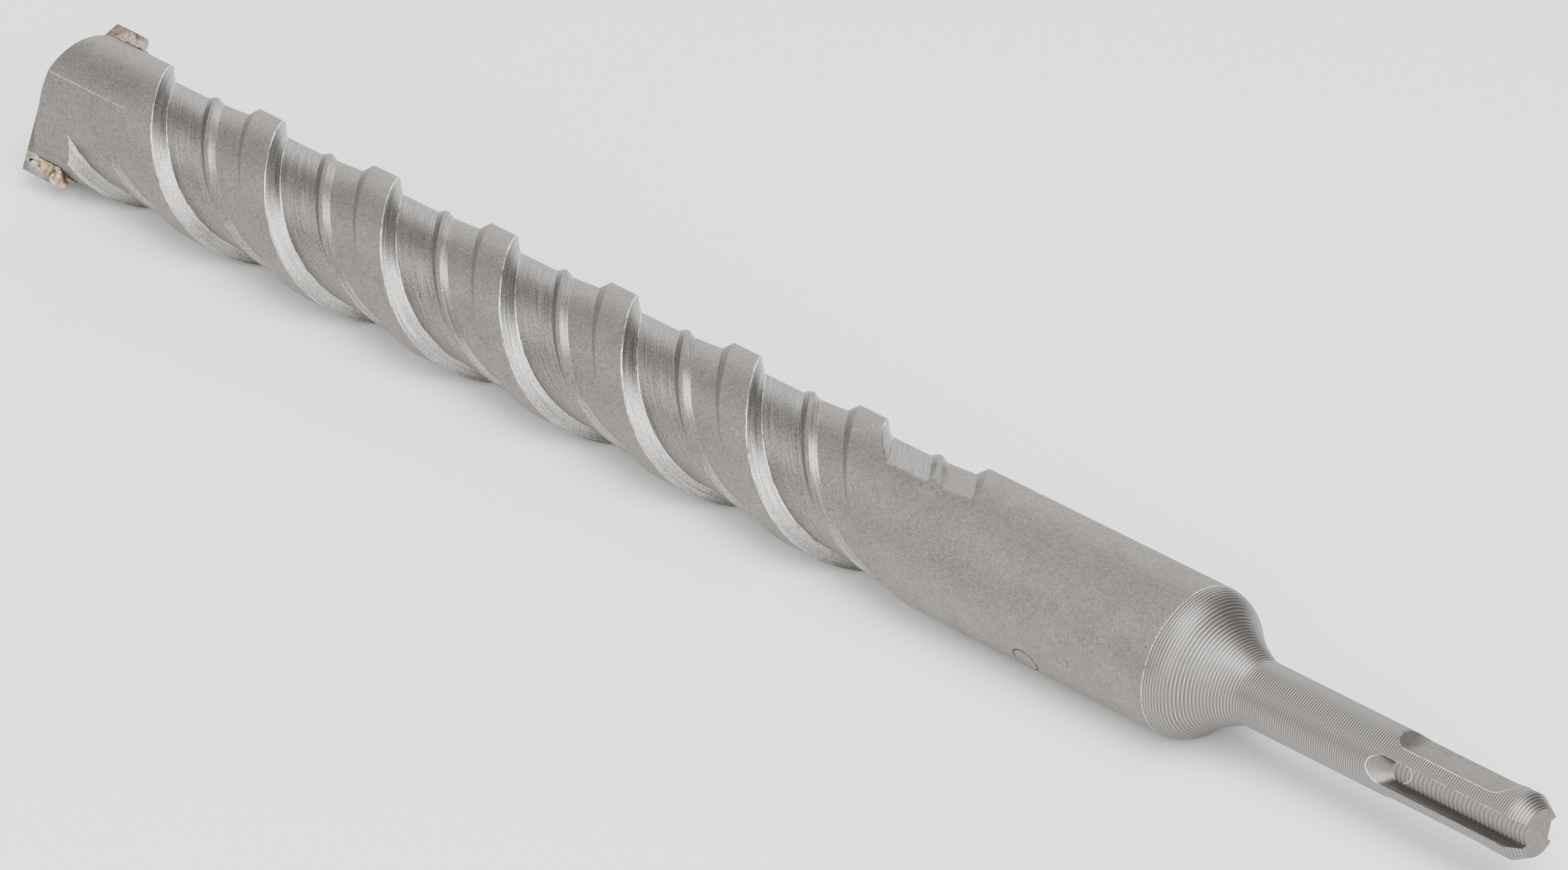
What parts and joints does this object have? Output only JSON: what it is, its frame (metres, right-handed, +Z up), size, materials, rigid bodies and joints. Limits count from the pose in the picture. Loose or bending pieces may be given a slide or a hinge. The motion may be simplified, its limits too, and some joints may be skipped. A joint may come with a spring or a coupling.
{
  "type": "masonry drill bit",
  "caption": "Masonry drill bit for rotary hammers: grooved round shank, flared body, spiral flutes and a brazed carbide plate across the tip.",
  "frame": {"origin": "centre of the shank's rear end face", "axes": "+X along the bit's axis and out of the shank's rear end, so the tip is towards -X; +Z up with the bit lying as it comes to rest on a level surface"},
  "size_m": [0.309, 0.0232, 0.023],
  "materials": {
    "steel": "blasted and milled tool steel",
    "carbide": "ground tungsten carbide",
    "braze": "as brazed"
  },
  "bodies": {
    "root": {"drill_body": "steel", "carbide_plate": "carbide", "braze_joint": "braze"}
  },
  "joints": []
}
